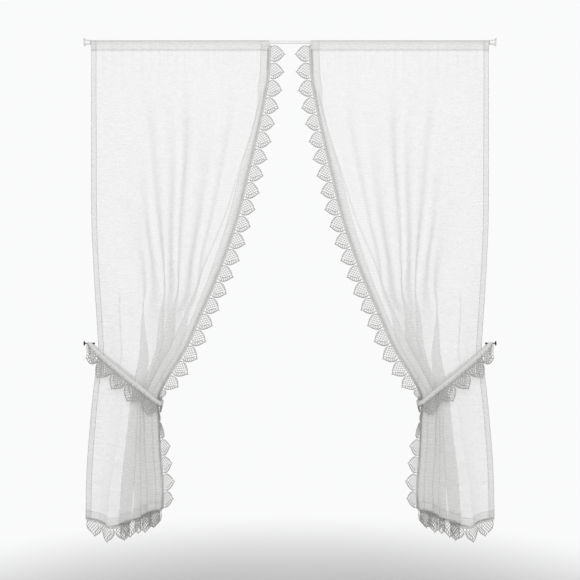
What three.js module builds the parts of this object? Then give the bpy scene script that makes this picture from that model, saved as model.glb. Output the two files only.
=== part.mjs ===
// A pair of sheer tie-back curtains with knotted-lace edging, hung by sewn pockets on one thin rod.
// Each curtain is a 550 mm panel of voile, drawn back to the wall by a lace-edged band that sits over
// a small hook. Lengths are in millimetres. The origin is the middle of the rod's centreline, +Z is up,
// -Y faces the room, and the shapes below are those of the right-hand curtain; the left is its mirror.
import * as THREE from "three";

// What the pair is hung between: two faces 1200 mm apart.
const REVEAL_HALF = 600;
const SEAT_GAP = 0.3;

// Rod and its end holders.
const ROD_RADIUS = 4.25;
const HOLDER = { flangeRadius: 11.5, flangeThick: 3, collarRadius: 7, length: 19, socketDepth: 12 };

// Hook: a wall rose, a thin pin along X and a ball on its end.
const HOOK = { z: -877, roseRadius: 7, roseThick: 2, pinRadius: 1.5, ballRadius: 3, ballX: 571 };

// Cloth: flat size, thickness and the fold that repeats across it.
const CLOTH_THICK = 1;
const FLAT_WIDTH = 550;
const COLUMNS = 33;
const FOLD_CLOTH = 100;
const STEPS = 6;
const CALM_CLOTH = 150;
const CALM_SHARE = 0.15;
const MOST_TURN = 2.05;
const HEADER_FADE = 250;

// Header: the pocket sewn round the rod, and the small gathers below it.
const STITCH_Z = -22;
const GATHER_DEPTH = 2.3;
const GATHER_FADE = 140;

// Lace: one scallop is a pointed fan on a narrow heading, three stations of cloth long.
const LACE_THICK = 1;
const SCALLOP = 50;
const LACE_DEPTH = 48;
const EDGE_SCALLOPS = 28;
const HEM_SCALLOPS = 11;
const THIRDS = 3;

// Tieback: a narrow folded band with the same lace on its lower edge.
const BAND_WIDTH = 12;
const BAND_FLARE = 0.1;
const BAND_STEPS = 16;

// The cloth's inner edge, from the rod down past the tie to the hem corner.
const INNER_EDGE = [
  { x: 60, z: -7 },
  { x: 66, z: -110 },
  { x: 88, z: -226 },
  { x: 124, z: -384 },
  { x: 161, z: -532 },
  { x: 212, z: -678 },
  { x: 264, z: -800 },
  { x: 305, z: -892 },
  { x: 361, z: -984 },
  { x: 384, z: -1036 },
  { x: 381, z: -1115 },
  { x: 376, z: -1200 },
  { x: 369, z: -1290 },
  { x: 370, z: -1357 },
];

// The cloth's outer edge, which bows in a little at the tie.
const OUTER_EDGE = [
  { x: 579, z: -7 },
  { x: 579, z: -460 },
  { x: 573, z: -650 },
  { x: 561, z: -844 },
  { x: 559, z: -905 },
  { x: 568, z: -970 },
  { x: 580, z: -1083 },
  { x: 592, z: -1237 },
  { x: 596, z: -1388 },
];

// Height of the hem along the cloth, from the outer edge.
const HEM_LINE = [
  { cloth: 0, z: -1388 },
  { cloth: 90, z: -1412 },
  { cloth: 250, z: -1391 },
  { cloth: 400, z: -1372 },
  { cloth: 550, z: -1357 },
];

// The rows of the panel, in scallops down its inner edge, closest at the tie.
const ROWS = [0, 3, 6, 10, 14, 17, 19, 20, 21, 22, 24, 26, 28];

// Where the tie crushes the edge lace: how far it turns to the back, in degrees, and what is left
// of its depth.
const CRUSH = [
  { scallop: 0, turn: 0, depth: 1 },
  { scallop: 20, turn: 0, depth: 1 },
  { scallop: 21, turn: 54, depth: 0.42 },
  { scallop: 22, turn: 58, depth: 0.4 },
  { scallop: 23, turn: 58, depth: 0.5 },
  { scallop: 24.5, turn: 8, depth: 0.95 },
  { scallop: 28, turn: 0, depth: 1 },
];

// The upper edge of the tieback in front of the cloth, from over the hook pin to the middle of its turn.
// The lean is the angle of its lace from straight down, towards the wall.
const TIEBACK_RUN = [
  { x: 577, y: -3.5, z: -874.6, lean: 90, depth: 0.14 },
  { x: 566, y: -8, z: -886, lean: 58, depth: 0.4 },
  { x: 543, y: -14, z: -908, lean: 40, depth: 1 },
  { x: 503, y: -21, z: -941, lean: 37, depth: 1 },
  { x: 461, y: -26, z: -974, lean: 35, depth: 1 },
  { x: 420, y: -27, z: -1006, lean: 26, depth: 1 },
  { x: 392, y: -26.5, z: -1030, lean: 6, depth: 1 },
  { x: 378, y: -22.3, z: -1040, lean: -3, depth: 1 },
  { x: 370.3, y: -12, z: -1045, lean: -7, depth: 1 },
  { x: 369.3, y: 0, z: -1046, lean: -8, depth: 1 },
];

// The pocket's section round the rod, its front half from the stitching up: distance out and height.
const POCKET_OUTSIDE = [
  { out: 4.6, z: -13.5 },
  { out: 7.9, z: -3 },
  { out: 5.6, z: 3.2 },
  { out: 2, z: 5.7 },
];
const POCKET_INSIDE = [
  { out: 3.2, z: -13.2 },
  { out: 6.8, z: -3 },
  { out: 4.7, z: 2.5 },
  { out: 1.7, z: 4.6 },
];
const POCKET_INSIDE_LOWEST = -19.5;

const voile = new THREE.MeshStandardMaterial({ color: 0xf1f1ee, roughness: 0.9, metalness: 0 });
const laceYarn = new THREE.MeshStandardMaterial({ color: 0xe9e8e3, roughness: 0.85, metalness: 0 });
const whiteMetal = new THREE.MeshStandardMaterial({ color: 0xe4e4e2, roughness: 0.4, metalness: 0.1 });
const darkMetal = new THREE.MeshStandardMaterial({ color: 0x2b2622, roughness: 0.45, metalness: 0.6 });

const smooth = (t) => THREE.MathUtils.smoothstep(t, 0, 1);

// Reads a table's column at a place, straight between its rows.
function between(table, key, place, column) {
  const after = table.findIndex((row) => row[key] > place);
  if (after < 0) return table[table.length - 1][column];
  const [low, high] = [table[Math.max(after - 1, 0)], table[after]];
  const share = THREE.MathUtils.clamp((place - low[key]) / (high[key] - low[key] || 1), 0, 1);
  return THREE.MathUtils.lerp(low[column], high[column], share);
}

// A solid's geometry from its corners and triangles, turned so that its faces point out.
function solid(corners, triangles) {
  let volume = 0;
  const normal = new THREE.Vector3();
  for (const [a, b, c] of triangles) {
    volume += corners[a].dot(normal.crossVectors(corners[b], corners[c]));
  }
  const order = volume < 0 ? triangles.map(([a, b, c]) => [a, c, b]) : triangles;
  return new THREE.BufferGeometry().setFromPoints(corners).setIndex(order.flat());
}

// The triangles of a flat outline with holes, each turning left.
function leftTurning(outline, holes) {
  const all = [outline, ...holes].flat();
  return THREE.ShapeUtils.triangulateShape(outline, holes).map(([a, b, c]) => {
    const turn = all[b].clone().sub(all[a]).cross(all[c].clone().sub(all[a]));
    return turn > 0 ? [a, b, c] : [a, c, b];
  });
}

// The angle that the cloth has at one step of a row of folds, whose flanks turn by this much at their middle.
// The folds grow from the calm strip beside the outer edge.
function turned(turn, step) {
  const cloth = (step + 0.5) * (FLAT_WIDTH / (COLUMNS * STEPS));
  const calm = CALM_SHARE + (1 - CALM_SHARE) * smooth(cloth / CALM_CLOTH);
  const phase = (2 * Math.PI * (cloth - FLAT_WIDTH)) / FOLD_CLOTH;
  return turn * calm * Math.sin(phase);
}

// The width that such a row of folds spans.
function spanned(turn) {
  let span = 0;
  for (let step = 0; step < COLUMNS * STEPS; step++) span += Math.cos(turned(turn, step));
  return (span * FLAT_WIDTH) / (COLUMNS * STEPS);
}

// One row of folds: for each column, how far across and how far back the cloth has come.
// The cloth's length across is kept, so the folds deepen as the row is drawn in.
function foldedRow(width, share) {
  let [low, high] = [0, MOST_TURN];
  for (let round = 0; round < 24; round++) {
    const middle = (low + high) / 2;
    if (spanned(middle) > width) low = middle;
    else high = middle;
  }
  const turn = low * share;
  const stretch = width / spanned(turn);
  const piece = FLAT_WIDTH / (COLUMNS * STEPS);
  const row = [{ across: 0, back: 0 }];
  let [across, back] = [0, 0];
  for (let step = 0; step < COLUMNS * STEPS; step++) {
    across += Math.cos(turned(turn, step)) * piece * stretch;
    back += Math.sin(turned(turn, step)) * piece;
    if ((step + 1) % STEPS === 0) row.push({ across, back });
  }
  const depths = row.map((place) => place.back);
  const middle = (Math.min(...depths) + Math.max(...depths)) / 2;
  return row.map((place) => ({ across: place.across, back: place.back - middle }));
}

const innerCurve = new THREE.SplineCurve(INNER_EDGE.map(({ x, z }) => new THREE.Vector2(x, z)));
const outerCurve = new THREE.SplineCurve(OUTER_EDGE.map(({ x, z }) => new THREE.Vector2(x, z)));

// The middle surface of the panel at one row: a point and a sideways step of half a thickness at each column.
function panelRow(scallop) {
  const share = scallop / EDGE_SCALLOPS;
  const [inner, outer] = [innerCurve.getPointAt(share), outerCurve.getPointAt(share)];
  const down = -THREE.MathUtils.lerp(inner.y, outer.y, 0.5);
  const folds = foldedRow(outer.x - inner.x, smooth((down + STITCH_Z) / HEADER_FADE));
  const gather = GATHER_DEPTH * (1 - smooth((down + STITCH_Z) / GATHER_FADE));
  const points = folds.map(({ across, back }, column) => {
    const cloth = (FLAT_WIDTH * column) / COLUMNS;
    const level = THREE.MathUtils.lerp(outer.y, inner.y, cloth / FLAT_WIDTH);
    const hem = THREE.MathUtils.lerp(outerCurve.getPoint(1).y, innerCurve.getPoint(1).y, cloth / FLAT_WIDTH);
    const drop = between(HEM_LINE, "cloth", cloth, "z") - hem;
    return new THREE.Vector3(outer.x - across, back + gatherAt(column) * gather, level + drop * share ** 3);
  });
  return points.map((point, column) => ({ point, side: sideways(points, column) }));
}

// The gathers go to and fro from column to column, and the two edges stay straight.
function gatherAt(column) {
  if (column === 0 || column === COLUMNS) return 0;
  return column % 2 ? 1 : -1;
}

// Half a thickness square to the cloth at a column, towards the room.
function sideways(points, column) {
  const side = new THREE.Vector3(0, -CLOTH_THICK / 2, 0);
  if (column === 0 || column === COLUMNS) return side;
  const before = points[column].clone().sub(points[column - 1]).setZ(0).normalize();
  const after = points[column + 1].clone().sub(points[column]).setZ(0).normalize();
  const along = before.clone().add(after).normalize();
  const mitre = Math.max(along.dot(after), 0.55);
  return side.set(-along.y, along.x, 0).multiplyScalar(CLOTH_THICK / 2 / mitre);
}

const rows = ROWS.map(panelRow);

// The panel's stitched row lies on the line between its first two rows, so that its edge stays straight.
function stitchedRow() {
  const [top, next] = rows;
  return top.map(({ point, side }, column) => {
    const share = (point.z - STITCH_Z) / (point.z - next[column].point.z);
    const x = THREE.MathUtils.lerp(point.x, next[column].point.x, share);
    return { point: new THREE.Vector3(x, gatherAt(column) * GATHER_DEPTH, STITCH_Z), side };
  });
}

// The panel: a sheet in folds below a pocket, made column by column from one closed section. Front and
// back are split along the same diagonals, so that the sheet keeps its thickness where it twists.
function panelSolid() {
  const sheet = [stitchedRow(), ...rows.slice(1)];
  const section = panelSection(sheet);
  const corners = [];
  for (let column = 0; column <= COLUMNS; column++) corners.push(...section.map((place) => place(column)));
  const outside = 2 * sheet.length + 2 * POCKET_OUTSIDE.length;
  const loops = [
    { first: 0, count: outside },
    { first: outside, count: section.length - outside },
  ];
  const triangles = [];
  for (let column = 0; column < COLUMNS; column++) {
    for (const { first, count } of loops) {
      for (let n = 0; n < count; n++) {
        const [here, there] = [first + n, first + ((n + 1) % count)];
        const [a, b] = [column * section.length + here, column * section.length + there];
        const [c, d] = [b + section.length, a + section.length];
        if (corners[b].z > corners[a].z) triangles.push([a, b, c], [a, c, d]);
        else triangles.push([a, b, d], [b, c, d]);
      }
    }
  }
  const last = COLUMNS * section.length;
  for (const [a, b, c] of panelEnd(sheet.length)) {
    triangles.push([a, b, c], [last + a, last + c, last + b]);
  }
  return solid(corners, triangles);
}

// The corners of the panel's section as functions of the column: up the front, round the pocket,
// down the back, and then the pocket's hollow the other way round.
function panelSection(sheet) {
  const face = (row, sign) => (column) => {
    const { point, side } = row[column];
    return point.clone().addScaledVector(side, sign);
  };
  const pocket = (out, z) => (column) => {
    const sway = gatherAt(column) * GATHER_DEPTH * smooth(-z / -POCKET_OUTSIDE[0].z);
    return new THREE.Vector3(sheet[0][column].point.x, out + sway, z);
  };
  return [
    ...sheet.toReversed().map((row) => face(row, 1)),
    ...POCKET_OUTSIDE.map(({ out, z }) => pocket(-out, z)),
    ...POCKET_OUTSIDE.toReversed().map(({ out, z }) => pocket(out, z)),
    ...sheet.map((row) => face(row, -1)),
    pocket(0, POCKET_INSIDE_LOWEST),
    ...POCKET_INSIDE.map(({ out, z }) => pocket(out, z)),
    ...POCKET_INSIDE.toReversed().map(({ out, z }) => pocket(-out, z)),
  ];
}

// The triangles that close one end of the panel: the pocket's ring, and then the sheet row by row.
function panelEnd(count) {
  const corner = (out, z) => new THREE.Vector2(out, z);
  const ring = [
    corner(-CLOTH_THICK / 2, STITCH_Z),
    ...POCKET_OUTSIDE.map(({ out, z }) => corner(-out, z)),
    ...POCKET_OUTSIDE.toReversed().map(({ out, z }) => corner(out, z)),
    corner(CLOTH_THICK / 2, STITCH_Z),
  ];
  const hollow = [
    corner(0, POCKET_INSIDE_LOWEST),
    ...POCKET_INSIDE.map(({ out, z }) => corner(out, z)),
    ...POCKET_INSIDE.toReversed().map(({ out, z }) => corner(-out, z)),
  ];
  const outside = 2 * count + 2 * POCKET_OUTSIDE.length;
  const inSection = (n) => (n < ring.length ? count - 1 + n : outside + n - ring.length);
  const triangles = leftTurning(ring, [hollow]).map((corners) => corners.map(inSection));
  for (let row = 0; row < count - 1; row++) {
    const [front, above] = [row, row + 1];
    const [back, backAbove] = [outside - 1 - row, outside - 2 - row];
    triangles.push([front, backAbove, above], [front, back, backAbove]);
  }
  return triangles;
}

// One scallop of lace, flat, in three strips: its outline along and down, and its large gaps.
// The half triangle at each end makes the gap over the notch between two fans.
const third = SCALLOP / THIRDS;
const flankOutline = [
  { along: 0, down: 0 },
  { along: third, down: 0 },
  { along: third, down: 43.5 },
  { along: 1.5, down: 27 },
  { along: 0, down: 17 },
  { along: 0, down: 13 },
  { along: 7, down: 5 },
  { along: 0, down: 5 },
];
const flankGap = [
  { along: 5, down: 18 },
  { along: 4.6, down: 27 },
  { along: 13, down: 36.5 },
  { along: 13, down: 21 },
];
const middleOutline = [
  { along: third, down: 0 },
  { along: 2 * third, down: 0 },
  { along: 2 * third, down: 43.5 },
  { along: SCALLOP / 2, down: LACE_DEPTH },
  { along: third, down: 43.5 },
];
const across = (outline) => outline.map(({ along, down }) => ({ along: SCALLOP - along, down })).toReversed();

// Triangles of one strip of the scallop, as triples of its flat places.
function stripTriangles(outline, gaps) {
  const flat = (points) => points.map(({ along, down }) => new THREE.Vector2(along, down));
  const all = [outline, ...gaps].flat();
  return leftTurning(flat(outline), gaps.map(flat)).map((corners) => corners.map((n) => all[n]));
}
const scallopTriangles = [
  ...stripTriangles(flankOutline, [flankGap]),
  ...stripTriangles(middleOutline, []),
  ...stripTriangles(across(flankOutline), [across(flankGap)]),
];

// A run of lace on a ribbon. A station holds a point of the sewn edge, the way down the lace, the way
// out of its face and what is left of its depth, and there are three stations to a scallop.
function laceSolid(stations, scallops, closed) {
  const length = scallops * SCALLOP;
  const flat = [];
  const known = new Map();
  const corner = ({ along, down }, start) => {
    const place = closed ? (along + start) % length : along + start;
    const key = `${place.toFixed(2)} ${down.toFixed(2)}`;
    if (!known.has(key)) known.set(key, flat.push({ place, down }) - 1);
    return known.get(key);
  };
  const face = [];
  for (let scallop = 0; scallop < scallops; scallop++) {
    for (const triangle of scallopTriangles) {
      face.push(triangle.map((point) => corner(point, scallop * SCALLOP)));
    }
  }
  const count = flat.length;
  const corners = [1, -1].flatMap((sign) =>
    flat.map(({ place, down }) => onRibbon(stations, place, down, sign)),
  );
  const triangles = face.flatMap(([a, b, c]) => [
    [a, b, c],
    [a + count, c + count, b + count],
  ]);
  const edges = new Set(face.flatMap(([a, b, c]) => [`${a} ${b}`, `${b} ${c}`, `${c} ${a}`]));
  for (const edge of edges) {
    const [a, b] = edge.split(" ").map(Number);
    if (edges.has(`${b} ${a}`)) continue;
    triangles.push([a + count, b + count, b], [a + count, b, a]);
  }
  return solid(corners, triangles);
}

// A place on the ribbon: along it, down it, and half a thickness to one face.
function onRibbon(stations, along, down, sign) {
  const place = (along / SCALLOP) * THIRDS;
  const before = Math.min(Math.floor(place + 1e-6), stations.length - 2);
  const share = place - before;
  const [a, b] = [stations[before], stations[before + 1]].map(({ point, way, face, depth }) =>
    point.clone().addScaledVector(way, down * depth).addScaledVector(face, (sign * LACE_THICK) / 2),
  );
  return a.lerp(b, share);
}

// The lace under the hem hangs straight down from the panel's last row and keeps its folds.
function hemStations() {
  return rows[rows.length - 1].map(({ point, side }) => ({
    point: point.clone().setZ(point.z - SEAT_GAP),
    way: new THREE.Vector3(0, 0, -1),
    face: side.clone().multiplyScalar(2 / CLOTH_THICK),
    depth: 1,
  }));
}

// The lace down the inner edge lies square to that edge, and turns back where the tie crushes it.
function edgeStations() {
  const ends = rows.map((row) => row[COLUMNS].point);
  const stations = [];
  for (let n = 0; n <= EDGE_SCALLOPS * THIRDS; n++) {
    const scallop = n / THIRDS;
    const lower = Math.max(
      1,
      ROWS.findIndex((row) => row >= scallop),
    );
    const share = (scallop - ROWS[lower - 1]) / (ROWS[lower] - ROWS[lower - 1]);
    const point = ends[lower - 1].clone().lerp(ends[lower], share);
    const run = ends[lower].clone().sub(ends[lower - 1]).normalize();
    const slope = innerCurve.getTangentAt(scallop / EDGE_SCALLOPS);
    const turn = THREE.MathUtils.degToRad(between(CRUSH, "scallop", scallop, "turn"));
    const way = new THREE.Vector3(slope.y, 0, -slope.x).multiplyScalar(Math.cos(turn));
    way.y = Math.sin(turn);
    point.x -= SEAT_GAP + Math.sin(turn);
    stations.push({
      point,
      way,
      face: run.cross(way).normalize(),
      depth: between(CRUSH, "scallop", scallop, "depth"),
    });
  }
  return stations;
}

// The tieback's stations: over the hook pin, down in front of the cloth, round it and back up behind.
function tiebackStations() {
  const curve = new THREE.CatmullRomCurve3(TIEBACK_RUN.map(({ x, y, z }) => new THREE.Vector3(x, y, z)));
  const run = TIEBACK_RUN.toReversed();
  const front = curve.getSpacedPoints(BAND_STEPS).map((point) => {
    const lean = THREE.MathUtils.degToRad(between(run, "x", point.x, "lean"));
    const flare = -BAND_FLARE * smooth(-point.y / 10);
    const way = new THREE.Vector3(Math.sin(lean), flare, -Math.cos(lean));
    return { point, way, depth: between(run, "x", point.x, "depth") };
  });
  const behind = front.slice(0, -1).map(({ point, way, depth }) => ({
    point: point.clone().setY(-point.y),
    way: way.clone().setY(-way.y),
    depth,
  }));
  const loop = [...front, ...behind.toReversed()];
  const stations = loop.map((station, n) => {
    const before = loop[(n + loop.length - 1) % loop.length].point;
    const after = loop[(n + 1) % loop.length].point;
    const along = after.clone().sub(before);
    return { ...station, face: along.cross(station.way).normalize() };
  });
  return [...stations, stations[0]];
}

// The band is a plain closed strip between its upper edge and the lace.
function bandSolid(stations) {
  const loop = stations.slice(0, -1);
  const corners = loop.flatMap(({ point, way, face }) =>
    [
      [0, 1],
      [BAND_WIDTH, 1],
      [BAND_WIDTH, -1],
      [0, -1],
    ].map(([down, sign]) =>
      point.clone().addScaledVector(way, down).addScaledVector(face, (sign * CLOTH_THICK) / 2),
    ),
  );
  const triangles = [];
  for (let n = 0; n < loop.length; n++) {
    for (let side = 0; side < 4; side++) {
      const next = (n + 1) % loop.length;
      const [a, b] = [n * 4 + side, n * 4 + ((side + 1) % 4)];
      const [c, d] = [next * 4 + ((side + 1) % 4), next * 4 + side];
      triangles.push([a, b, c], [a, c, d]);
    }
  }
  return solid(corners, triangles);
}

// The lace hangs from the lower edge of the band.
function bandLaceStations(stations) {
  return stations.map((station) => ({
    ...station,
    point: station.point.clone().addScaledVector(station.way, BAND_WIDTH + SEAT_GAP),
  }));
}

// A turned piece, whose profile is given as distance along X and radius.
function turnedAlongX(profile, sides) {
  const points = profile.map(({ radius, x }) => new THREE.Vector2(radius, x));
  return new THREE.LatheGeometry(points, sides).rotateZ(-Math.PI / 2);
}

// Holder on the wall at +X: a flange and a collar with a blind socket for the rod's end.
function holderSolid() {
  const inner = REVEAL_HALF - HOLDER.length;
  const socket = ROD_RADIUS + SEAT_GAP;
  return turnedAlongX(
    [
      { radius: 0, x: REVEAL_HALF },
      { radius: HOLDER.flangeRadius, x: REVEAL_HALF },
      { radius: HOLDER.flangeRadius, x: REVEAL_HALF - HOLDER.flangeThick },
      { radius: HOLDER.collarRadius, x: REVEAL_HALF - HOLDER.flangeThick },
      { radius: HOLDER.collarRadius, x: inner },
      { radius: socket, x: inner },
      { radius: socket, x: inner + HOLDER.socketDepth },
      { radius: 0, x: inner + HOLDER.socketDepth },
    ].toReversed(),
    12,
  );
}

function rodSolid() {
  const end = REVEAL_HALF - HOLDER.length + HOLDER.socketDepth - SEAT_GAP;
  return new THREE.CylinderGeometry(ROD_RADIUS, ROD_RADIUS, 2 * end, 12).rotateZ(Math.PI / 2);
}

// Hook on the wall at +X: rose, pin and ball turned in one piece.
function hookSolid() {
  const { z, roseRadius, roseThick, pinRadius, ballRadius, ballX } = HOOK;
  const ball = [0, 1, 2, 3].map((n) => {
    const angle = Math.PI - (n * Math.PI) / 4;
    return { radius: n ? ballRadius * Math.sin(angle) : 0, x: ballX + ballRadius * Math.cos(angle) };
  });
  return turnedAlongX(
    [
      ...ball,
      { radius: pinRadius, x: ballX + ballRadius },
      { radius: pinRadius, x: REVEAL_HALF - roseThick },
      { radius: roseRadius, x: REVEAL_HALF - roseThick },
      { radius: roseRadius, x: REVEAL_HALF },
      { radius: 0, x: REVEAL_HALF },
    ],
    8,
  ).translate(0, 0, z);
}

function mirrored(geometry) {
  const other = geometry.clone().scale(-1, 1, 1);
  const order = other.index.array;
  for (let n = 0; n < order.length; n += 3) [order[n + 1], order[n + 2]] = [order[n + 2], order[n + 1]];
  return other;
}

const pair = new THREE.Group();

function addMesh(name, geometry, material) {
  const mesh = new THREE.Mesh(geometry, material);
  mesh.name = name;
  pair.add(mesh);
}

const tieback = tiebackStations();
const pieces = [
  { name: "end_holder", geometry: holderSolid(), material: whiteMetal },
  { name: "tieback_hook", geometry: hookSolid(), material: darkMetal },
  { name: "voile_panel", geometry: panelSolid(), material: voile },
  { name: "edge_lace", geometry: laceSolid(edgeStations(), EDGE_SCALLOPS, false), material: laceYarn },
  { name: "hem_lace", geometry: laceSolid(hemStations(), HEM_SCALLOPS, false), material: laceYarn },
  { name: "tieback_band", geometry: bandSolid(tieback), material: voile },
  {
    name: "tieback_lace",
    geometry: laceSolid(bandLaceStations(tieback), (tieback.length - 1) / THIRDS, true),
    material: laceYarn,
  },
];

addMesh("rod", rodSolid(), whiteMetal);
for (const { name, geometry, material } of pieces) {
  addMesh(`right_${name}`, geometry, material);
  addMesh(`left_${name}`, mirrored(geometry), material);
}

export default pair;
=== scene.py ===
import math

import bmesh
import bpy
import numpy as np
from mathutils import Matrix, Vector


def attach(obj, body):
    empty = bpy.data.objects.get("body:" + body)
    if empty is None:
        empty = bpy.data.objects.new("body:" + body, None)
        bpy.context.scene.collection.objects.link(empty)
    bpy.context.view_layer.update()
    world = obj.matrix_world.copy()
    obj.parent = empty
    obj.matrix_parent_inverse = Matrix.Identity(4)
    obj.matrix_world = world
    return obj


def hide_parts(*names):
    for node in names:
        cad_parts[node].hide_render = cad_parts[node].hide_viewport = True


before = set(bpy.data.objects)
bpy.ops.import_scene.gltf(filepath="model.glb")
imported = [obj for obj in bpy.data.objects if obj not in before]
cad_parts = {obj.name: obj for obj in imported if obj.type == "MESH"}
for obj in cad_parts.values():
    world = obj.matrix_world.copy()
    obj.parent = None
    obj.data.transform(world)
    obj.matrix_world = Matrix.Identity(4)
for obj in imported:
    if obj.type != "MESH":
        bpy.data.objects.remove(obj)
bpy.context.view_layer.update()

# Rod
# A thin steel tube, painted satin white, that runs inside the sewn pockets of both panels.
# Its two ends sit in small cups.
MM = 0.001
ROD_RADIUS = 4.25
ROD_HALF = 592.7
ROD_EDGE = 0.5
PAINT = (0.80, 0.80, 0.79, 1)
PAINT_WORN = (0.70, 0.70, 0.685, 1)


class Wire:
    """What a node gives out. Python's operators on it add Math nodes."""

    def __init__(self, socket):
        self.socket = socket

    def _math(self, operation, first, second):
        values = {0: first, 1: second}
        return node(self.socket.id_data, "Math", {"operation": operation}, values)

    def __add__(self, other):
        return self._math("ADD", self, other)

    def __radd__(self, other):
        return self._math("ADD", other, self)

    def __sub__(self, other):
        return self._math("SUBTRACT", self, other)

    def __rsub__(self, other):
        return self._math("SUBTRACT", other, self)

    def __mul__(self, other):
        return self._math("MULTIPLY", self, other)

    def __rmul__(self, other):
        return self._math("MULTIPLY", other, self)

    def __pow__(self, other):
        return self._math("POWER", self, other)


def node(tree, kind, settings, values, output=0):
    """Adds one node: first its settings, then the values or links of its sockets."""
    made = tree.nodes.new("ShaderNode" + kind)
    for name, value in settings.items():
        setattr(made, name, value)
    for key, value in values.items():
        if isinstance(value, Wire):
            tree.links.new(value.socket, made.inputs[key])
        else:
            made.inputs[key].default_value = value
    return Wire(made.outputs[output]) if made.outputs else None


def new_finish(name):
    """An empty material, with the tree that its nodes go into."""
    material = bpy.data.materials.new(name)
    material.use_nodes = True
    material.node_tree.nodes.clear()
    return material, material.node_tree


def blended(tree, share, first, second):
    """A colour between two, by a wire that goes from 0 to 1."""
    values = {0: share, 6: first, 7: second}
    return node(tree, "Mix", {"data_type": "RGBA"}, values, output=2)


def noise(tree, place, scale, detail=2.0, stretch=(1, 1, 1)):
    """A soft random wire from 0 to 1, whose grain is given in grains a metre and can be stretched."""
    drawn = node(tree, "Mapping", {}, {"Vector": place, "Scale": stretch})
    values = {"Vector": drawn, "Scale": scale, "Detail": detail, "Roughness": 0.55}
    return node(tree, "TexNoise", {}, values)


def painted_metal():
    """Sprayed satin paint: faintly uneven in colour and gloss, with a fine orange peel."""
    material, tree = new_finish("satin_white_paint")
    place = node(tree, "TexCoord", {}, {}, output=3)
    cloudy = noise(tree, place, 60.0)
    peel = noise(tree, place, 900.0)
    bump = node(tree, "Bump", {}, {"Height": peel, "Strength": 0.12, "Distance": 0.0003})
    values = {
        "Base Color": blended(tree, cloudy ** 2, PAINT, PAINT_WORN),
        "Roughness": 0.28 + 0.14 * cloudy,
        "Normal": bump,
        "Coat Weight": 0.25,
        "Coat Roughness": 0.2,
    }
    paint = node(tree, "BsdfPrincipled", {}, values)
    node(tree, "OutputMaterial", {}, {"Surface": paint})
    return material


def turned(profile, sides, edge):
    """A shape turned about the X axis from (x, radius) pairs in millimetres, with its sharp edges rounded."""
    made = bmesh.new()
    corners = [made.verts.new((x * MM, 0, radius * MM)) for x, radius in profile]
    lines = [made.edges.new(ends) for ends in zip(corners, corners[1:])]
    bmesh.ops.spin(
        made,
        geom=corners + lines,
        cent=(0, 0, 0),
        axis=(1, 0, 0),
        angle=2 * math.pi,
        steps=sides,
        use_merge=True,
    )
    bmesh.ops.remove_doubles(made, verts=made.verts, dist=1e-6)
    bmesh.ops.recalc_face_normals(made, faces=made.faces)
    sharp = [e for e in made.edges if e.is_manifold and e.calc_face_angle(0) > 0.6]
    bmesh.ops.bevel(
        made,
        geom=sharp,
        offset=edge * MM,
        offset_type="OFFSET",
        affect="EDGES",
        segments=2,
        profile=0.5,
        material=-1,
    )
    return made


def hung(name, shape, material, cad_node):
    """Makes the finished piece from its mesh, in place of its CAD node."""
    mesh = bpy.data.meshes.new(name)
    shape.to_mesh(mesh)
    shape.free()
    mesh.shade_smooth()
    mesh.materials.append(material)
    made = bpy.data.objects.new(name, mesh)
    bpy.context.scene.collection.objects.link(made)
    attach(made, "root")
    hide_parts(cad_node)
    return made


def both_sides(name, shape, material, cad_name):
    """The right-hand piece and its mirror image on the left."""
    other = shape.copy()
    bmesh.ops.scale(other, vec=(-1, 1, 1), verts=other.verts)
    bmesh.ops.reverse_faces(other, faces=other.faces)
    return [
        hung(f"right_{name}", shape, material, f"right_{cad_name}"),
        hung(f"left_{name}", other, material, f"left_{cad_name}"),
    ]


white_paint = painted_metal()
rod_shape = turned(
    [(-ROD_HALF, 0), (-ROD_HALF, ROD_RADIUS), (ROD_HALF, ROD_RADIUS), (ROD_HALF, 0)],
    48,
    ROD_EDGE,
)
hung("curtain_rod", rod_shape, white_paint, "rod")

# End cups
# Two small cast holders, painted like the rod: a flange that is screwed on flat and a collar with a
# blind socket that the rod's end drops into.
SIDE_X = 600
CUP_INNER = 581
CUP_SOCKET_END = 593
CUP_PROFILE = [
    (SIDE_X, 0),
    (SIDE_X, 11.5),
    (597.8, 11.5),
    (596.6, 10.2),
    (596.2, 7.6),
    (594.5, 7),
    (582.5, 7),
    (CUP_INNER, 6.4),
    (CUP_INNER, 4.55),
    (CUP_SOCKET_END, 4.55),
    (CUP_SOCKET_END, 0),
]
both_sides("rod_cup", turned(CUP_PROFILE, 40, 0.25), white_paint, "end_holder")

# Pegs
# The hook that each tieback sits on: a flat rose, a thin pin and a small ball, turned in one piece of
# dark bronzed brass and rubbed a little brighter in places.
PEG_Z = -877
PEG_PROFILE = [
    (568, 0),
    (568.25, 1.15),
    (568.9, 2.15),
    (570, 2.8),
    (571, 3),
    (572, 2.8),
    (573.1, 2.1),
    (574, 1.5),
    (594, 1.5),
    (596.4, 1.9),
    (597.8, 3.4),
    (598.3, 6.2),
    (599, 7),
    (SIDE_X, 7),
    (SIDE_X, 0),
]
BRONZE = (0.045, 0.036, 0.028, 1)
BRONZE_RUBBED = (0.20, 0.14, 0.085, 1)


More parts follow.
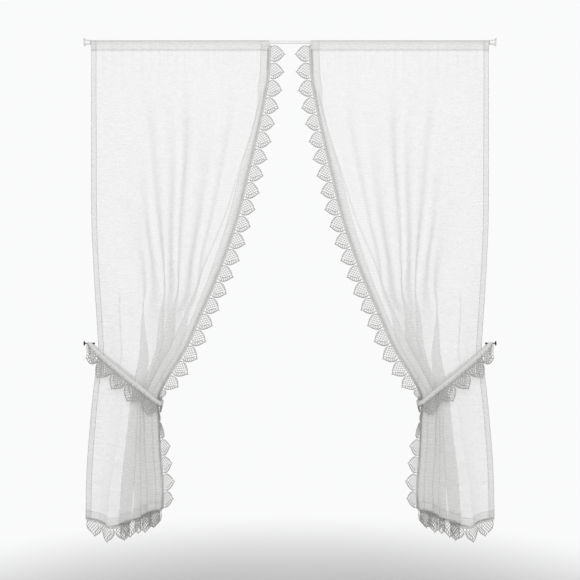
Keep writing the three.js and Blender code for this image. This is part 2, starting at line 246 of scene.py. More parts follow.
def bronzed():
    """Dark bronzed brass, patchy, with its colour worn thin in places."""
    material, tree = new_finish("dark_bronze")
    place = node(tree, "TexCoord", {}, {}, output=3)
    patches = noise(tree, place, 350.0)
    fine = noise(tree, place, 2500.0)
    bump = node(tree, "Bump", {}, {"Height": fine, "Strength": 0.2, "Distance": 0.0002})
    values = {
        "Base Color": blended(tree, patches ** 3, BRONZE, BRONZE_RUBBED),
        "Metallic": 0.85,
        "Roughness": 0.30 + 0.25 * patches,
        "Normal": bump,
    }
    brass = node(tree, "BsdfPrincipled", {}, values)
    node(tree, "OutputMaterial", {}, {"Surface": brass})
    return material


peg_shape = turned(PEG_PROFILE, 32, 0.2)
bmesh.ops.translate(peg_shape, vec=(0, 0, PEG_Z * MM), verts=peg_shape.verts)
both_sides("tieback_peg", peg_shape, bronzed(), "tieback_hook")

# Voile panels
# Each panel is one piece of sheer slubbed voile, 550 mm wide. Its top is turned over the rod and
# stitched to a pocket, its sides and hem are turned under, and the tie draws it into deep folds.
FLAT_WIDTH = 550
COLUMNS = 220
STEP = FLAT_WIDTH / COLUMNS
OUTER_HEM = 15
INNER_HEM = 25
HEM = 25
ROW_STEP = 4.3
POCKET_ROWS = 16
MAIN_ROWS = 319
STITCH_Z = -22
DROP = 1381
LAYER = 0.7
GATHER_DEPTH = 2.3
GATHER_PITCH = 28
GATHER_FADE = 140
# How sharply the cloth may turn, in radians, and how far its drawing in is searched.
MOST_TURN = 2.75
MOST_DRAW = 14
DRAW_TRIES = 24
EDGE_ROLL = 0.6
# The sewn edges of the panel seen from in front, as x and z, from the rod to the hem.
INNER_EDGE = [
    (60, -7), (66, -110), (88, -226), (124, -384), (161, -532), (212, -678), (264, -800),
    (305, -892), (361, -984), (384, -1036), (381, -1115), (376, -1200), (369, -1290), (370, -1357),
]
OUTER_EDGE = [
    (579, -7), (579, -460), (573, -650), (561, -844), (559, -905), (568, -970), (580, -1083),
    (592, -1237), (596, -1388),
]
HEM_LINE = [(0, -1388), (90, -1412), (250, -1391), (400, -1372), (550, -1357)]
# The pocket's section, as y and z, from the stitching up in front, over the rod and down behind.
POCKET = [
    (0, -22), (-3.9, -13.35), (-7.35, -3), (-5.15, 2.85), (0, 5.6), (5.15, 2.85), (7.35, -3),
    (4.1, -13.35), (0.9, -22.3), (0.8, -27),
]
# The tieback's upper edge in front of the cloth, as x, y and z, with the lean of its lace from
# straight down and what the gathering leaves of the lace's depth.
TIE_RUN = [
    (577, -3.5, -874.6, 90, 0.14), (566, -8, -886, 58, 0.4), (543, -14, -908, 40, 1),
    (503, -21, -941, 37, 1), (461, -26, -974, 35, 1), (420, -27, -1006, 26, 1),
    (392, -26.5, -1030, 10, 0.9), (378, -22.3, -1040, 12, 0.7), (370.3, -12, -1045, 14, 0.5),
    (369.3, 0, -1046, 14, 0.45),
]
# The cloth that one fold takes, by the share of the drop: the tie gathers the folds closer.
FOLD_CLOTH = [(0, 150), (0.3, 128), (0.45, 112), (0.6, 104), (0.75, 98), (1, 102)]
# The drop's share over which soft waves become flat pleats, and over which the inner edge comes forward.
PLEATS_START, PLEATS_OVER = 0.4, 0.26
FORWARD_START, FORWARD_OVER = 0.3, 0.25
EDGE_FORWARD = 16
PLEAT_LEAN = 0.08
# Where the folds are calmer, in millimetres of cloth: by the outer edge, and beside the inner one.
OUTER_CALM = 150
FOLDS_FROM = 120
EDGE_CALM = 62
# Each row is evened out front to back over this many steps of the cloth.
TREND_REACH = 34
# Creases that the tie pulls into the cloth. Each has its turn in radians, how wide it is, and its
# places as shares of the drop with millimetres from the inner edge.
CREASES = [
    {
        "turn": -1.5,
        "wide": 10,
        "run": [(0.07, 8), (0.11, 12), (0.25, 33), (0.35, 42), (0.48, 61), (0.58, 62)],
    },
    {"turn": 1.5, "wide": 5, "run": [(0.50, 477), (0.62, 479), (0.74, 482)]},
]
CREASE_FADE = 0.05
VOILE = (0.91, 0.91, 0.905, 1)
# Thick yarns are painted darker: painted shade, as they look with light coming through the cloth from behind.
VOILE_SLUB_SHADE = (0.78, 0.78, 0.775, 1)
# The hem band is painted whiter: a painted highlight for its front-lit look.
HEM_PAINTED_LIGHT = (0.95, 0.95, 0.945, 1)
# Seam lines are painted grey: the thread, and painted shade along the sewn edge.
SEAM_THREAD_AND_SHADE = (0.42, 0.42, 0.42, 1)
# How much of what is behind it the bare voile hides, and what each thing adds to that.
PANEL_COVER = 0.31
YARN_COVER = 0.34
CLOUD_COVER = 0.08
BROAD_COVER = 0.3
# Steep flanks of the folds are made more opaque: painted shade that darkens the flanks.
STEEP_SHADE_COVER = 0.12
HEM_COVER = 0.14
THREAD_COVER = 0.26
THREAD_HALF = 0.0016
UNHEMMED = 9.0


def smooth(value):
    """A share from 0 to 1 that leaves and arrives gently."""
    value = np.clip(value, 0, 1)
    return value * value * (3 - 2 * value)


def spline(points, count):
    """Points at even steps along a smooth curve through the given ones."""
    points = np.array(points, float)
    padded = np.vstack([points[:1], points, points[-1:]])
    steps = np.linspace(0, 1, 40, endpoint=False)[:, None]
    fine = []
    for before, start, end, after in zip(padded, padded[1:], padded[2:], padded[3:]):
        leave, arrive = (end - before) / 2, (after - start) / 2
        cubic = 2 * start - 2 * end + leave + arrive
        square = 3 * end - 3 * start - 2 * leave - arrive
        fine.append(cubic * steps ** 3 + square * steps ** 2 + leave * steps + start)
    fine = np.vstack(fine + [points[-1:]])
    return spaced(fine, count)


def spaced(line, count):
    """The same line with a number of points at even steps."""
    run = np.r_[0, np.cumsum(np.linalg.norm(np.diff(line[:, :3], axis=0), axis=1))]
    even = np.linspace(0, run[-1], count)
    return np.stack([np.interp(even, run, column) for column in line.T], axis=1)


def along(line, share):
    """The places on an evenly spaced line at some shares of its length."""
    grid = np.linspace(0, 1, len(line))
    return np.stack([np.interp(share, grid, column) for column in line.T], axis=-1)


inner_edge = spline(INNER_EDGE, 2001)
outer_edge = spline(OUTER_EDGE, 2001)
tie_run = spline(TIE_RUN, 400)
FIRST_SHARE = (OUTER_EDGE[0][1] - STITCH_Z) / DROP
cloth = np.linspace(0, FLAT_WIDTH, COLUMNS + 1)
mid_step = (cloth[1:] + cloth[:-1]) / 2


def row_turns(share):
    """How far the cloth turns at each step of each row, as a share of the row's draw: soft waves near
    the rod, which become flat pleats beside the inner edge at the tie, and calm cloth by the outer edge."""
    from_edge = FLAT_WIDTH - mid_step
    away = smooth(from_edge / 130)
    tied = smooth((share - PLEATS_START) / PLEATS_OVER)
    pitch = np.interp(share, *np.array(FOLD_CLOTH, float).T)
    wander = 0.55 * np.sin(from_edge / 47 + 1.1 * share) + 0.3 * np.sin(from_edge / 21 - 1.6 * share + 1)
    wave = np.sin(2 * np.pi * from_edge / pitch + away * wander)
    pleat = PLEAT_LEAN - smooth((-wave - 0.05) / 0.5)
    wave = wave + (pleat - wave) * tied
    calm = 0.15 + 0.85 * smooth(mid_step / OUTER_CALM)
    spread = 0.85 - 0.35 * smooth((share - 0.8) / 0.2)
    loose = 1 - spread * (1 - smooth((mid_step - FOLDS_FROM) / 60))
    beside = 0.1 + 0.9 * smooth((from_edge - EDGE_CALM) / 40)
    beside = beside + (1 - beside) * tied
    return calm * loose * beside * wave


def creases(share):
    """The turn that the creases add at each step of each row."""
    from_edge = FLAT_WIDTH - mid_step
    turns = 0
    for crease in CREASES:
        run = np.array(crease["run"], float)
        place = np.interp(share, run[:, 0], run[:, 1])
        shown = smooth((share - run[0, 0]) / CREASE_FADE) * smooth((run[-1, 0] - share) / CREASE_FADE)
        turns = turns + crease["turn"] * shown * np.exp(-(((from_edge - place) / crease["wide"]) ** 2))
    return turns


def edge_roll(down):
    """How far the last of the cloth rolls back beside the lace, at each step of each row."""
    return EDGE_ROLL * smooth((mid_step - 533) / 9) * smooth((down - 40) / 120)


def drawn(turns, draw):
    """The angle of the cloth for a row's draw, which nears the most that a fold turns."""
    return MOST_TURN * np.tanh(draw * np.abs(turns) / MOST_TURN) * np.sign(turns)


def softened(line, reach):
    """The same run of numbers, each averaged with those within its reach."""
    weights = np.hanning(2 * reach + 3)[1:-1]
    return np.convolve(np.pad(line, reach, "edge"), weights / weights.sum(), "valid")


def panel_rows(share):
    """The middle of the cloth at each share of the drop, as rows of x, y and z."""
    share = share[:, None]
    inner, outer = along(inner_edge, share[:, 0]), along(outer_edge, share[:, 0])
    width = (outer[:, 0] - inner[:, 0])[:, None]
    down = -(inner[:, 1] + outer[:, 1])[:, None] / 2
    turns, fixed = row_turns(share), edge_roll(down) + creases(share)
    low, high = np.zeros_like(width), np.full_like(width, MOST_DRAW)
    for _ in range(DRAW_TRIES):
        tried = (low + high) / 2
        wide = (np.cos(drawn(turns, tried) + fixed).sum(1, keepdims=True) * STEP) > width
        low, high = np.where(wide, tried, low), np.where(wide, high, tried)
    angle = drawn(turns, low * smooth((down + STITCH_Z) / 250)) + fixed
    across = np.cos(angle).cumsum(1)
    across = np.hstack([np.zeros_like(width), across * width / across[:, -1:]])
    back = np.hstack([np.zeros_like(width), np.sin(angle).cumsum(1) * STEP])
    back = back - np.stack([softened(row, TREND_REACH) for row in back])
    even = cloth / FLAT_WIDTH
    forward = smooth((share - FORWARD_START) / FORWARD_OVER) * smooth((even - 0.84) / 0.16)
    back = back - EDGE_FORWARD * forward
    fade = 1 - smooth((down + STITCH_Z) / GATHER_FADE)
    back = back + GATHER_DEPTH * fade * gathers()
    level = outer[:, 1:] + (inner[:, 1:] - outer[:, 1:]) * even
    line = np.array(HEM_LINE, float)
    hem = np.interp(cloth, line[:, 0], line[:, 1]) - (line[0, 1] + (line[-1, 1] - line[0, 1]) * even)
    x = outer[:, :1] - across
    z = level + hem * share ** 3
    return np.stack([x, cinched(x, back, z), z], axis=-1)


def gathers():
    """The small gathers that the stitching holds, from -1 to 1 and flat at both edges."""
    sway = np.sin(2 * np.pi * cloth / GATHER_PITCH + 0.9 * np.sin(cloth / 37)) + 0.3 * np.sin(cloth / 9.7)
    return sway / 1.3 * smooth(cloth / 25) * smooth((FLAT_WIDTH - cloth) / 25)


def cinched(x, y, z):
    """Draws the folds together under the tieback, so that they stay inside its loop."""
    front = tie_run[::-1]
    clear = -np.interp(x, front[:, 0], front[:, 1]) - 2
    above = z - np.interp(x, front[:, 0], front[:, 2])
    held = smooth((110 - above) / 100) * smooth((above + 190) / 130)
    most = np.maximum(clear, 3)
    pressed = y / (1 + (np.abs(y) / most) ** 6) ** (1 / 6)
    return y + (pressed - y) * held


def panel_cloth():
    """The whole cut as a grid of places: pocket, panel and hem, with the side hems turned under."""
    pocket = spline(POCKET, POCKET_ROWS + 1)[::-1]
    main = panel_rows(np.linspace(FIRST_SHARE, 1, MAIN_ROWS + 1))
    slope = np.cross(np.gradient(main, axis=0), np.gradient(main, axis=1))
    slope = slope / np.linalg.norm(slope, axis=-1, keepdims=True)
    top = main[0]
    over = np.stack([np.broadcast_to(top[:, 0], (len(pocket), len(top)))] * 3, axis=-1).copy()
    held = smooth(-pocket[:, 1:] / 22)
    over[..., 1] = pocket[:, :1] + held * GATHER_DEPTH * gathers()
    over[..., 2] = pocket[:, 1:]
    rows = np.vstack([over[:-1], main])
    faces = np.vstack([pocket_out(pocket[:-1], len(top)), slope])
    hem_rows = round(HEM / ROW_STEP)
    turned_up = np.arange(len(rows) - 1, len(rows) - 1 - hem_rows, -1)
    order = np.r_[np.arange(len(rows)), turned_up]
    lift = np.r_[np.zeros(len(rows)), np.full(hem_rows, LAYER)]
    places = rows[order] + (faces[order] * lift[:, None, None])
    faces = faces[order]
    outer_columns, inner_columns = (round(h * COLUMNS / FLAT_WIDTH) for h in (OUTER_HEM, INNER_HEM))
    outer = np.arange(outer_columns, 0, -1)
    inner = np.arange(COLUMNS, COLUMNS - inner_columns, -1)
    order = np.r_[outer, np.arange(COLUMNS + 1), inner]
    lift = np.r_[np.full(outer_columns, LAYER), np.zeros(COLUMNS + 1), np.full(inner_columns, LAYER)]
    return places[:, order] + faces[:, order] * lift[None, :, None]


def pocket_out(pocket, count):
    """The way into the pocket, towards the rod, all along each of its rows."""
    towards = -pocket / np.linalg.norm(pocket, axis=1, keepdims=True)
    flat = np.stack([np.zeros(len(pocket)), towards[:, 0], towards[:, 1]], axis=1)
    return np.repeat(flat[:, None, :], count, axis=1)


def cloth_grid(places):
    """A grid of cloth laid on rows of places in millimetres, with its flat place as its UV map."""
    rows, columns = places.shape[:2]
    out = np.cross(np.gradient(places, axis=1), np.gradient(places, axis=0))
    steepness = 1 - np.abs(out[..., 1]) / np.maximum(np.linalg.norm(out, axis=-1), 1e-6)
    made = bmesh.new()
    made.loops.layers.uv.new("flat")
    # How steeply the cloth stands is kept for the voile, which paints shade on steep flanks with it.
    steep = made.verts.layers.float.new("steep")
    bmesh.ops.create_grid(
        made, x_segments=columns - 1, y_segments=rows - 1, size=1, calc_uvs=True
    )
    for corner in made.verts:
        column = round((corner.co.x + 1) / 2 * (columns - 1))
        row = round((1 - corner.co.y) / 2 * (rows - 1))
        corner.co = places[row, column] * MM
        corner[steep] = steepness[row, column]
    return made


def line_at(tree, where, place, half):
    """A wire that is 1 on a line across the flat cloth and fades to 0 half a width away."""
    gap = node(tree, "Math", {"operation": "ABSOLUTE"}, {0: where - place})
    return node(tree, "MapRange", {}, {"Value": gap, "From Min": half, "From Max": half * 0.3})


def step_at(tree, where, start, end):
    """A wire that goes smoothly from 0 to 1 between two places on the flat cloth."""
    values = {"Value": where, "From Min": start, "From Max": end}
    return node(tree, "MapRange", {"interpolation_type": "SMOOTHSTEP"}, values)


def voile(name, wide, long, least, hem_from=UNHEMMED, seams=(), rows=()):
    """Sheer slubbed voile. Thin and thick yarns make it more or less see-through, so it's drawn by
    how much of what is behind it shows between the threads. The thick yarns are painted darker as
    painted shade of light from behind, and the pressed hem is painted whiter as a painted highlight of
    its front-lit look. Seams are lines of thread, painted grey with painted shade along them, down the
    cloth and across it, all in metres on the flat cut."""
    material, tree = new_finish(name)
    flat = node(tree, "UVMap", {"uv_map": "flat"}, {})
    across = node(tree, "SeparateXYZ", {}, {0: flat}, output=0) * wide
    down = (1 - node(tree, "SeparateXYZ", {}, {0: flat}, output=1)) * long
    slubs = noise(tree, flat, 1.0, 2.0, (wide * 60, long * 520, 1))
    long_slubs = noise(tree, flat, 1.0, 1.0, (wide * 14, long * 330, 1))
    grain = noise(tree, flat, 1.0, 2.0, (wide * 480, long * 480, 1))
    cloudy = noise(tree, flat, 1.0, 2.0, (wide * 22, long * 22, 1))
    broad = noise(tree, flat, 1.0, 1.0, (wide * 13, long * 1.6, 1))
    thick = 0.48 * slubs + 0.24 * long_slubs + 0.28 * grain
    dense = node(tree, "MapRange", {}, {"Value": thick, "From Min": 0.40, "From Max": 0.64})
    # Painted shade: steep flanks are made more opaque, so the folds' flanks show darker.
    steep = node(tree, "Attribute", {"attribute_name": "steep"}, {}, output=2)
    cover = least + YARN_COVER * dense + CLOUD_COVER * cloudy + BROAD_COVER * broad + STEEP_SHADE_COVER * steep
    hem = step_at(tree, across, hem_from, hem_from + 0.002)
    cover = cover + HEM_COVER * hem
    # Painted shade: the thick yarns are painted darker, as they look with light from behind.
    colour = blended(tree, dense, VOILE, VOILE_SLUB_SHADE)
    # Painted highlight: the hem band is painted whiter.
    colour = blended(tree, hem, colour, HEM_PAINTED_LIGHT)
    for where, places in ((across, seams), (down, rows)):
        for place in places:
            thread = line_at(tree, where, place, THREAD_HALF)
            cover = cover + THREAD_COVER * thread
            # The seam's grey is the thread plus painted shade along the sewn edge.
            colour = blended(tree, 0.7 * thread, colour, SEAM_THREAD_AND_SHADE)
    height = node(tree, "Bump", {}, {"Height": dense, "Strength": 0.25, "Distance": 0.0005})
    values = {
        "Base Color": colour,
        "Roughness": 0.75 + 0.15 * cloudy,
        "Normal": height,
        "Sheen Weight": 0.2,
        "Sheen Roughness": 0.5,
        "Specular IOR Level": 0.2,
    }
    front = node(tree, "BsdfPrincipled", {}, values)
    through = node(tree, "BsdfTranslucent", {}, {"Color": VOILE})
    threads = node(tree, "MixShader", {}, {0: 0.18 + 0.35 * hem, 1: front, 2: through})
    gaps = node(tree, "BsdfTransparent", {}, {})
    surface = node(tree, "MixShader", {}, {0: cover, 1: gaps, 2: threads})
    node(tree, "OutputMaterial", {}, {"Surface": surface})
    return material


panel_places = panel_cloth()
panel_flat = (
    (OUTER_HEM + FLAT_WIDTH + INNER_HEM) * MM,
    (panel_places.shape[0] - 1) * ROW_STEP * MM,
)
panel_shape = cloth_grid(panel_places)
inner_seam = (OUTER_HEM + FLAT_WIDTH - INNER_HEM) * MM
outer_seam = 2 * OUTER_HEM * MM
stitching = POCKET_ROWS * ROW_STEP * MM
hem_seam = panel_flat[1] - 2 * HEM * MM
panel_finish = voile(
    "slubbed_voile", *panel_flat, PANEL_COVER, inner_seam, (inner_seam, outer_seam), (stitching, hem_seam)
)
for panel in both_sides("sheer_panel", panel_shape, panel_finish, "voile_panel"):
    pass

# Knotted lace on the panels
# White cotton lace made as a run of pointed fans on a narrow heading: a net on each fan's middle,
# long loops round its rim and a knot at its point. It is sewn down the inner edge and along the hem.
SCALLOP = 50
EDGE_SCALLOPS = 28
HEM_SCALLOPS = 11
STATIONS = 12
ACROSS_SOFTEN = 2
DEPTH_SOFTEN = 8
FAN_CENTRE = (25, 11)
FAN_POINT = 44
# The cords' places and radii. The loops stand side by side inside the rim, from the point up one flank.
LOOPS = 6
LOOP_STEP = 15.5
LOOP_INSIDE = 6.1
LOOP_LONG, LOOP_WIDE = 5.0, 2.9
LOOP_RADIUS = 0.8
NET_STEP = 8
NET_TOP = 5.4
NET_SLANT = 0.8
NET_RADIUS = 0.5
KNOT_ROWS = (5, 10, 15, 20, 25, 30, 35)
KNOT_RADIUS = 1.55
HEADING_ROWS = (-4.6, -2.3, 0, 2.3, 4.6)
HEADING_RADIUS = 0.75
RIM_RADIUS = 1.1
RIM_REACH = 84
# Radius of the fan's rim about its centre, by the angle from straight down.
FAN_RIM = [(0, 34), (7, 31.4), (16, 29.2), (28, 27.4), (42, 26), (58, 25), (74, 23.8), (84, 23)]
# White cotton painted grey, as painted shade of light from behind; the second grey is the deeper painted
# shade between the yarns.
LACE_LIT_GREY = (0.60, 0.595, 0.575, 1)
LACE_SHADE = (0.43, 0.425, 0.41, 1)


def fan_point(angle, inside):
    """A place on the fan, some way inside its rim."""
    table = np.array(FAN_RIM, float)
    radius = np.interp(np.abs(angle), table[:, 0], table[:, 1]) - inside
    turn = np.radians(angle)
    return np.stack([FAN_CENTRE[0] + radius * np.sin(turn), FAN_CENTRE[1] + radius * np.cos(turn)], axis=-1)


def oval(centre, way, half_long, half_wide, count):
    """A closed oval, long in the given way."""
    turn = np.linspace(0, 2 * np.pi, count, endpoint=False)[:, None]
    way = np.array(way)
    side = np.array([-way[1], way[0]])
    return centre + way * np.cos(turn) * half_long + side * np.sin(turn) * half_wide


def arch_inside(angle):
    """How far inside the rim the inner arch runs: deep behind the loops, near the plain flank."""
    return 0.8 + 8.7 * smooth((np.asarray(angle, float) + 22) / 14)


def fan_cords():
    """The cords of one fan, flat, as (places, radius, lift, closed)."""
    cords = []
    heading = np.linspace(0, SCALLOP, 13)
    for down in HEADING_ROWS:
        cords.append((np.stack([heading, np.full(13, down)], axis=1), HEADING_RADIUS, 0, False))
    angles = np.linspace(-RIM_REACH, RIM_REACH, 43)
    bump = 0.6 * (1 - np.cos(2 * np.pi * angles / LOOP_STEP)) / 2 * smooth((angles + 20) / 10)
    rim = fan_point(angles, bump)
    rim = np.vstack([[(5.5, NET_TOP)], rim, [(SCALLOP - 5.5, NET_TOP)]])
    cords.append((rim, RIM_RADIUS, 0, False))
    for number in range(LOOPS):
        angle = number * LOOP_STEP
        way = (math.sin(math.radians(angle)), math.cos(math.radians(angle)))
        centre = fan_point(angle, LOOP_INSIDE)
        cords.append((oval(centre, way, LOOP_LONG, LOOP_WIDE, 12), LOOP_RADIUS, -0.1, True))
    cords += net_cords()
    middle, point = FAN_CENTRE[0], FAN_POINT
    cords.append((oval(np.array([middle, point + 0.3]), (0, 1), 1.1, 0.9, 6), 1.0, 0, True))
    tail = np.array([(middle, point), (middle + 0.1, point + 2), (middle, point + 3.8)])
    cords.append((tail, 0.9, 0, False))
    return cords


def net_cords():
    """Cords that cross on the slant, each cut to the part that lies inside the arch."""
    cords = []
    for slant in (1, -1):
        for start in np.arange(-40, 90, NET_STEP):
            down = np.arange(NET_TOP, 42, 0.5)
            place = np.stack([start + slant * (down - NET_TOP) * NET_SLANT, down], axis=1)
            offset = place - np.array(FAN_CENTRE)
            angle = np.clip(np.degrees(np.arctan2(offset[:, 0], offset[:, 1])), -RIM_REACH, RIM_REACH)
            arch = fan_point(angle, arch_inside(angle)) - np.array(FAN_CENTRE)
            inside = np.linalg.norm(offset, axis=1) < np.linalg.norm(arch, axis=1)
            inside |= (down < FAN_CENTRE[1]) & (np.abs(offset[:, 0]) < 14.5)
            inside &= (offset[:, 0] > -22) & (offset[:, 0] < 17)
            kept = place[inside]
            if len(kept) > 5:
                cords.append((spaced(kept, 6), NET_RADIUS, 0.2 * slant, False))
                knots = kept[np.isin(np.round(kept[:, 1] - NET_TOP, 2), KNOT_ROWS)] if slant > 0 else []
                cords += [(np.array([spot - (0, 1), spot + (0, 1)]), KNOT_RADIUS, 0, False) for spot in knots]
    return cords


def flat_fan():
    """One fan's mesh, flat: along the lace, down it and out of its face, in millimetres."""
    curve = bpy.data.curves.new("fan_cords", "CURVE")
    curve.dimensions = "3D"
    curve.bevel_depth = 1
    curve.bevel_resolution = 1
    curve.use_fill_caps = True
    for places, radius, lift, closed in fan_cords():
        cord = curve.splines.new("POLY")
        cord.points.add(len(places) - 1)
        for point, (x, y) in zip(cord.points, places):
            point.co = (x, y, lift, 1)
            point.radius = radius
        cord.use_cyclic_u = closed
    holder = bpy.data.objects.new("fan_cords", curve)
    bpy.context.scene.collection.objects.link(holder)
    mesh = bpy.data.meshes.new_from_object(holder)
    bpy.data.objects.remove(holder)
    return mesh


fan_mesh = flat_fan()


def lace_run(count, stations):
    """A run of fans, made flat and then sewn on: each place goes to its station along the edge, and
    from there down the lace and out of its face."""
    made = bmesh.new()
    for number in range(count):
        known = len(made.verts)
        made.from_mesh(fan_mesh)
        made.verts.ensure_lookup_table()
        bmesh.ops.translate(made, vec=(number * SCALLOP, 0, 0), verts=made.verts[known:])
    bmesh.ops.recalc_face_normals(made, faces=made.faces)
    flat = np.array([corner.co for corner in made.verts])
    place = np.clip(flat[:, 0] / SCALLOP * STATIONS, 0, len(stations["point"]) - 1)
    grid = np.arange(len(stations["point"]))

    def at(name):
        table = stations[name]
        return np.stack([np.interp(place, grid, column) for column in table.T], axis=1)

    down = flat[:, 1:2] * at("depth")
    sewn = at("point") + at("way") * down + at("face") * flat[:, 2:3]
    for corner, spot in zip(made.verts, sewn):
        corner.co = spot * MM
    return made


def facing(point, way):
    """The way out of the lace's face at each station."""
    run = np.gradient(point, axis=0)
    face = np.cross(run, way)
    return face / np.linalg.norm(face, axis=1, keepdims=True)


def cotton():
    """Matt cotton yarn, knotted tight, painted grey as painted shade of the light behind it: lighter on
    the raised yarns and greyer between them, where the shade is painted deeper.
    """
    material, tree = new_finish("knotted_cotton")
    place = node(tree, "TexCoord", {}, {}, output=3)
    yarn = noise(tree, place, 700.0, 3.0)
    runs = noise(tree, place, 120.0)
    bump = node(tree, "Bump", {}, {"Height": yarn, "Strength": 0.6, "Distance": 0.0005})
    values = {
        # Painted shade: grey yarn, greyer between the raised yarns.
        "Base Color": blended(tree, 0.7 * yarn + 0.3 * runs, LACE_SHADE, LACE_LIT_GREY),
        "Roughness": 0.72 + 0.2 * yarn,
        "Normal": bump,
        "Sheen Weight": 0.3,
        "Sheen Roughness": 0.5,
        "Specular IOR Level": 0.3,
    }
    front = node(tree, "BsdfPrincipled", {}, values)
    through = node(tree, "BsdfTranslucent", {}, {"Color": LACE_LIT_GREY})
    surface = node(tree, "MixShader", {}, {0: 0.2, 1: front, 2: through})
    node(tree, "OutputMaterial", {}, {"Surface": surface})
    return material


# The tie turns the edge lace to the back and crushes it: by scallop, degrees and depth left.
CRUSH = [
    (0, 0, 1), (20, 0, 1), (21, 30, 0.8), (21.6, 62, 0.42), (22, 84, 0.4), (23.6, 70, 0.6),
    (24.4, 40, 0.74), (25, 34, 0.76), (27, 32, 0.76), (28, 46, 0.8),
]


def edge_stations():
    """Down the inner edge, square to it."""
    count = EDGE_SCALLOPS * STATIONS + 1
    share = np.linspace(0, 1, count)
    flat = along(inner_edge, share)
    sewn = share[share >= FIRST_SHARE]
    depth_y = np.interp(share, sewn, panel_rows(sewn)[:, -1, 1])
    point = np.stack([flat[:, 0], depth_y, flat[:, 1]], axis=1)
    slope = np.gradient(flat, axis=0)
    slope = slope / np.linalg.norm(slope, axis=1, keepdims=True)
    table = np.array(CRUSH, float)
    scallop = share * EDGE_SCALLOPS
    flutter = 7 * np.sin(scallop * 2.3) + 5 * np.sin(scallop * 5.1 + 1)
    turn = np.radians(np.interp(scallop, table[:, 0], table[:, 1]) + flutter)[:, None]
    across = np.stack([slope[:, 1], np.zeros(count), -slope[:, 0]], axis=1)
    way = across * np.cos(turn) + np.array([0, 1, 0]) * np.sin(turn)
    depth = np.interp(scallop, table[:, 0], table[:, 2])[:, None]
    return {"point": point, "way": way, "face": facing(point, way), "depth": depth}


def hem_stations():
    """Along the hem from the outer edge, hanging straight down with a little sway. The lace is stiffer
    than the voile, so it follows the hem's folds more softly."""
    count = HEM_SCALLOPS * STATIONS + 1
    last = panel_rows(np.array([1.0]))[0]
    point = along(last, np.linspace(0, 1, count))
    point[:, 0] = softened(point[:, 0], ACROSS_SOFTEN)
    point[:, 1] = softened(point[:, 1], DEPTH_SOFTEN)
    number = np.arange(count) / STATIONS
    sway = np.radians(6 * np.sin(number * 3.7) + 4 * np.sin(number * 8.3))
    way = np.stack([np.zeros(count), np.sin(sway), -np.cos(sway)], axis=1)
    depth = np.full((count, 1), 1.0)
    return {"point": point, "way": way, "face": facing(point, way), "depth": depth}


cotton_finish = cotton()
both_sides(
    "edge_fans", lace_run(EDGE_SCALLOPS, edge_stations()), cotton_finish, "edge_lace"
)
both_sides(
    "hem_fans", lace_run(HEM_SCALLOPS, hem_stations()), cotton_finish, "hem_lace"
)

# Tiebacks
# A narrow strip of the same voile, folded double and sewn to a loop that goes over the peg and round
# the cloth. The same lace is sewn between the two layers of its lower edge.
BAND_WIDTH = 12
BAND_FLARE = 0.1
BAND_ROWS = 264
TIE_SCALLOPS = 11
BAND_COVER = 0.4
BAND_SECTION = [(12.3, -0.6), (9, -0.75), (5, -0.85), (1.6, -0.75), (0.2, -0.35), (0, 0)]


def tie_loop(count):
    """The loop's upper edge with the way down the band, from over the peg round the cloth and back."""
    front = spaced(tie_run, len(tie_run))
    behind = front[:-1][::-1] * np.array([1, -1, 1, 1, 1])
    loop = spaced(np.vstack([front, behind]), count + 1)
    lean = np.radians(loop[:, 3])
    flare = np.sign(loop[:, 1]) * BAND_FLARE * smooth(np.abs(loop[:, 1]) / 10)
    way = np.stack([np.sin(lean), flare, -np.cos(lean)], axis=1)
    point = loop[:, :3]
    run = np.roll(point[:-1], -1, axis=0) - np.roll(point[:-1], 1, axis=0)
    face = np.cross(np.vstack([run, run[:1]]), way)
    face = face / np.linalg.norm(face, axis=1, keepdims=True)
    return {"point": point, "way": way, "face": face, "depth": loop[:, 4:5]}


def band_cloth():
    """The folded strip: up one face, over its upper edge and down the other."""
    loop = tie_loop(BAND_ROWS)
    section = BAND_SECTION + [(down, -lift) for down, lift in BAND_SECTION[-2::-1]]
    number = np.arange(BAND_ROWS + 1) / BAND_ROWS * 2 * np.pi
    pucker = 0.35 * np.sin(number * 37) + 0.25 * np.sin(number * 61 + 1)
    columns = []
    for down, lift in section:
        out = lift + pucker * smooth(down / 8) * 0.6
        columns.append(loop["point"] + loop["way"] * down + loop["face"] * out[:, None])
    return np.stack(columns, axis=1)


band_places = band_cloth()
band_long = np.linalg.norm(np.diff(band_places[:, 5], axis=0), axis=1).sum() * MM
band_flat = (2 * (BAND_WIDTH + 1) * MM, band_long)
band_finish = voile("tieback_voile", *band_flat, BAND_COVER)
for band in both_sides("tie_band", cloth_grid(band_places), band_finish, "tieback_band"):
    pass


def tie_lace_stations():
    """The lace starts at the band's lower edge, all round the loop."""
    loop = tie_loop(TIE_SCALLOPS * STATIONS)
    loop["point"] = loop["point"] + loop["way"] * BAND_WIDTH
    return loop


both_sides(
    "tie_fans", lace_run(TIE_SCALLOPS, tie_lace_stations()), cotton_finish, "tieback_lace"
)

# Floor, lamps and camera
# A plain pale floor far below the hem, soft light from in front and behind, and the camera square to
# the pair at the height from which it was seen.
FLOOR_Z = -2.1
FLOOR_SIZE = 9
FLOOR_PALE = (0.91, 0.91, 0.91, 1)
FLOOR_SHADE = (0.88, 0.88, 0.88, 1)
FLOOR_FADE = (2.3, 3.4)
AIM = (0, 0, -0.7)
LENS = 50
SENSOR = 36
CAMERA_Y = -2.347
CAMERA_Z = -0.7216
BACKGROUND = (0.955, 0.957, 0.96, 1)
AMBIENT = 0.34
LAMPS = [
    {"name": "front_soft", "place": (0, -3.2, 0.5), "size": 1.8, "power": 64},
    {"name": "back_soft", "place": (0, 2.6, 0.3), "size": 2.4, "power": 10},
]

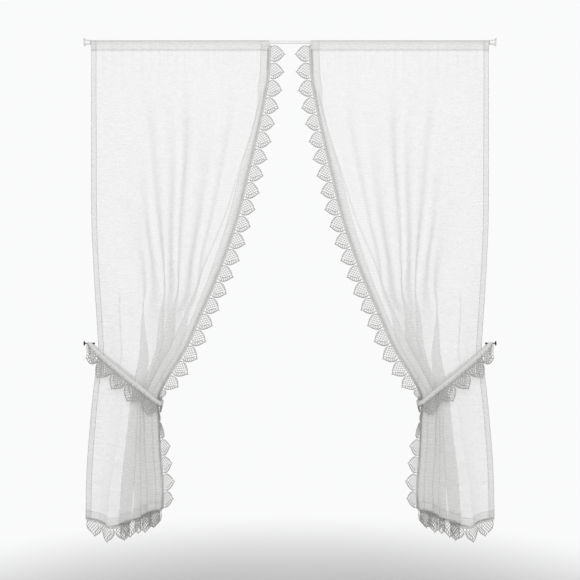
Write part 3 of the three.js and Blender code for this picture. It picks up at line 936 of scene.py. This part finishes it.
floor_shape = bmesh.new()
bmesh.ops.create_grid(floor_shape, x_segments=1, y_segments=1, size=FLOOR_SIZE)
bmesh.ops.translate(floor_shape, vec=(0, 0, FLOOR_Z), verts=floor_shape.verts)
floor_mesh = bpy.data.meshes.new("studio_floor")
floor_shape.to_mesh(floor_mesh)
floor_shape.free()
floor = bpy.data.objects.new("studio_floor", floor_mesh)
bpy.context.scene.collection.objects.link(floor)
floor_finish, floor_tree = new_finish("pale_floor")
floor_place = node(floor_tree, "TexCoord", {}, {}, output=3)
floor_cloud = noise(floor_tree, floor_place, 2.0)
floor_values = {
    "Base Color": blended(floor_tree, floor_cloud, FLOOR_SHADE, FLOOR_PALE),
    "Roughness": 0.9,
}
floor_paint = node(floor_tree, "BsdfPrincipled", {}, floor_values)
floor_far = node(floor_tree, "VectorMath", {"operation": "LENGTH"}, {0: floor_place}, output=1)
floor_fade = step_at(floor_tree, floor_far, *FLOOR_FADE)
floor_sky = node(floor_tree, "Emission", {}, {"Color": BACKGROUND})
floor_seen = node(floor_tree, "MixShader", {}, {0: floor_fade, 1: floor_paint, 2: floor_sky})
node(floor_tree, "OutputMaterial", {}, {"Surface": floor_seen})
floor_mesh.materials.append(floor_finish)

world = bpy.data.worlds.new("studio")
bpy.context.scene.world = world
world.use_nodes = True
world.node_tree.nodes.clear()
seen = node(world.node_tree, "Background", {}, {"Color": BACKGROUND, "Strength": 1.0})
lit = node(world.node_tree, "Background", {}, {"Color": (1, 1, 1, 1), "Strength": AMBIENT})
camera_ray = node(world.node_tree, "LightPath", {}, {})
sky = node(world.node_tree, "MixShader", {}, {0: camera_ray, 1: lit, 2: seen})
node(world.node_tree, "OutputWorld", {}, {"Surface": sky})

for lamp in LAMPS:
    light = bpy.data.lights.new(lamp["name"], "AREA")
    light.size = lamp["size"]
    light.energy = lamp["power"]
    shown = bpy.data.objects.new(lamp["name"], light)
    shown.location = lamp["place"]
    aim = Vector(AIM) - Vector(lamp["place"])
    shown.rotation_euler = aim.to_track_quat("-Z", "Y").to_euler()
    shown.visible_camera = False
    bpy.context.scene.collection.objects.link(shown)

bpy.context.scene.view_settings.view_transform = "Standard"
camera_data = bpy.data.cameras.new("camera")
camera_data.sensor_width = SENSOR
camera_data.lens = LENS
camera = bpy.data.objects.new("camera", camera_data)
camera.location = (0, CAMERA_Y, CAMERA_Z)
camera.rotation_euler = (math.pi / 2, 0, 0)
bpy.context.scene.collection.objects.link(camera)
bpy.context.scene.camera = camera
